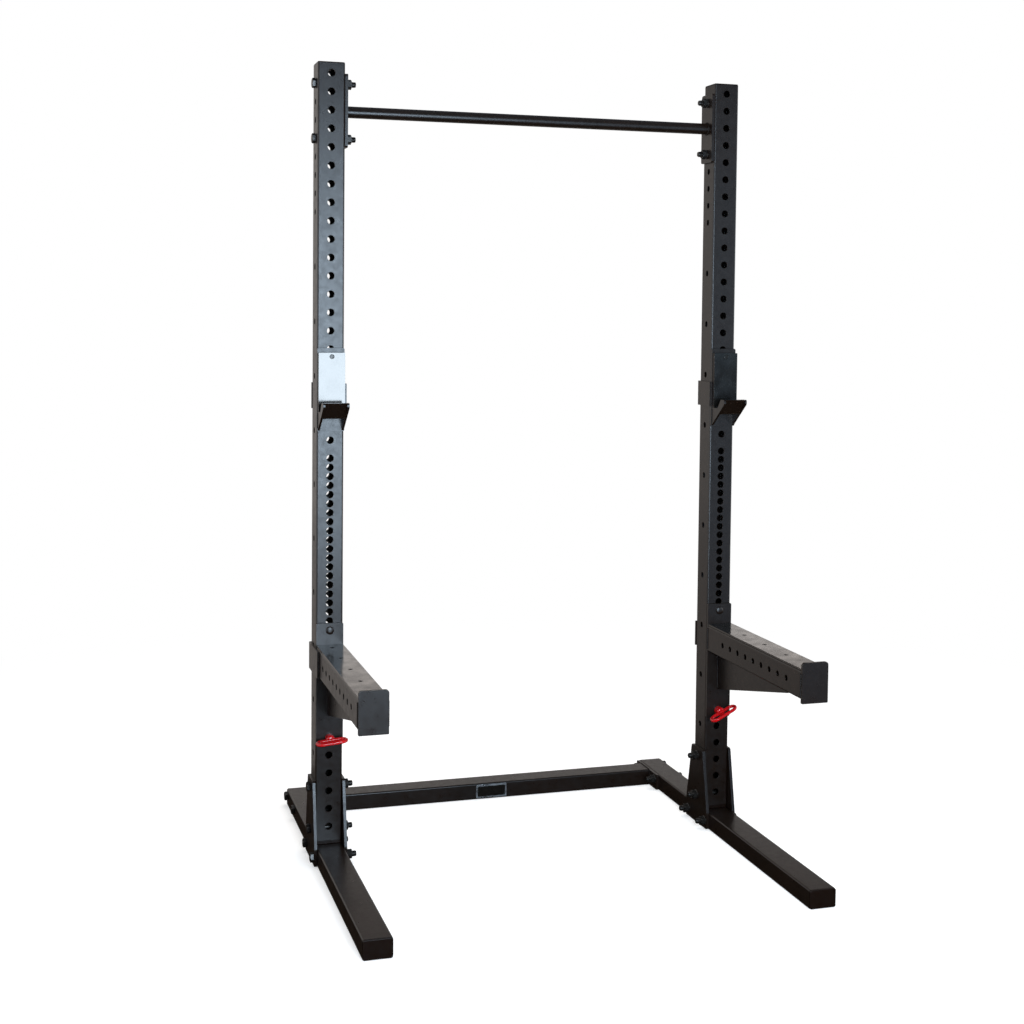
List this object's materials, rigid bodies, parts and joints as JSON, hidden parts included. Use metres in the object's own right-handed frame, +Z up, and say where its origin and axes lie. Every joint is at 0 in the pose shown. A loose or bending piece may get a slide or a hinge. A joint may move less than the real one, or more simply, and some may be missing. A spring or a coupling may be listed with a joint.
{
  "type": "half rack",
  "caption": "Free-standing half rack: drilled uprights on floor runners, a straight pull-up bar, twist-on J-cups and pinned spotter arms.",
  "frame": {"origin": "middle of the footprint's bounding box, on the floor", "axes": "+X to the rack's right as seen from the front, +Y to the rear crossmember, +Z up"},
  "size_m": [1.2822, 1.191, 2.205],
  "materials": {
    "powder_coat": "satin black powder coat",
    "moulded_plastic": "moulded, fine matt grain",
    "liner_plastic": "smooth, semi-gloss",
    "fastener_steel": "blackened, lightly oiled",
    "bright_steel": "ground bright",
    "red_plastic": "dipped, glossy"
  },
  "bodies": {
    "frame": {"rear_crossmember": "powder_coat", "pull_up_bar": "powder_coat", "upright_left": "powder_coat", "runner_left": "powder_coat", "top_cap_left": "moulded_plastic", "foot_cap_left": "moulded_plastic", "runner_cap_front_left": "moulded_plastic", "runner_cap_rear_left": "moulded_plastic", "base_plate_outer_left": "powder_coat", "base_plate_inner_left": "powder_coat", "spotter_arm_left": "powder_coat", "arm_strip_left": "liner_plastic", "bar_bolt_1_left": "fastener_steel", "bar_nut_1_left": "fastener_steel", "bar_bolt_2_left": "fastener_steel", "bar_nut_2_left": "fastener_steel", "base_bolt_1_left": "fastener_steel", "base_nut_1_left": "fastener_steel", "base_bolt_2_left": "fastener_steel", "base_nut_2_left": "fastener_steel", "base_bolt_3_left": "fastener_steel", "base_nut_3_left": "fastener_steel", "base_bolt_4_left": "fastener_steel", "base_nut_4_left": "fastener_steel", "cross_bolt_1_left": "fastener_steel", "cross_nut_1_left": "fastener_steel", "cross_bolt_2_left": "fastener_steel", "upright_right": "powder_coat", "runner_right": "powder_coat", "top_cap_right": "moulded_plastic", "foot_cap_right": "moulded_plastic", "runner_cap_front_right": "moulded_plastic", "runner_cap_rear_right": "moulded_plastic", "base_plate_outer_right": "powder_coat", "base_plate_inner_right": "powder_coat", "spotter_arm_right": "powder_coat", "arm_strip_right": "liner_plastic", "bar_bolt_1_right": "fastener_steel", "bar_nut_1_right": "fastener_steel", "bar_bolt_2_right": "fastener_steel", "bar_nut_2_right": "fastener_steel", "base_bolt_1_right": "fastener_steel", "base_nut_1_right": "fastener_steel", "base_bolt_2_right": "fastener_steel", "base_nut_2_right": "fastener_steel", "base_bolt_3_right": "fastener_steel", "base_nut_3_right": "fastener_steel", "base_bolt_4_right": "fastener_steel", "base_nut_4_right": "fastener_steel", "cross_bolt_1_right": "fastener_steel", "cross_nut_1_right": "fastener_steel", "cross_bolt_2_right": "fastener_steel"},
    "jcup_left": {"cup_bracket_left": "powder_coat", "cup_liner_left": "liner_plastic"},
    "pin_left": {"locking_pin_left": "bright_steel"},
    "pin_loop_left": {"pin_handle_left": "red_plastic"},
    "jcup_right": {"cup_bracket_right": "powder_coat", "cup_liner_right": "liner_plastic"},
    "pin_right": {"locking_pin_right": "bright_steel"},
    "pin_loop_right": {"pin_handle_right": "red_plastic"}
  },
  "joints": [
    {"name": "jcup_twist_left", "type": "hinge", "parent": "frame", "child": "jcup_left", "pos_m": [-0.585, 0.1095, 1.375], "axis": [0, -1, 0], "range_deg": [0, 90]},
    {"name": "pin_pull_left", "type": "slide", "parent": "frame", "child": "pin_left", "axis": [0, -1, 0], "range_m": [0, 0.06]},
    {"name": "pin_loop_spin_left", "type": "hinge", "parent": "pin_left", "child": "pin_loop_left", "pos_m": [-0.585, 0.04, 0.35], "axis": [0, 1, 0], "continuous": true},
    {"name": "jcup_twist_right", "type": "hinge", "parent": "frame", "child": "jcup_right", "pos_m": [0.585, 0.1095, 1.375], "axis": [0, 1, 0], "range_deg": [0, 90]},
    {"name": "pin_pull_right", "type": "slide", "parent": "frame", "child": "pin_right", "axis": [0, -1, 0], "range_m": [0, 0.06]},
    {"name": "pin_loop_spin_right", "type": "hinge", "parent": "pin_right", "child": "pin_loop_right", "pos_m": [0.585, 0.04, 0.35], "axis": [0, 1, 0], "continuous": true}
  ]
}
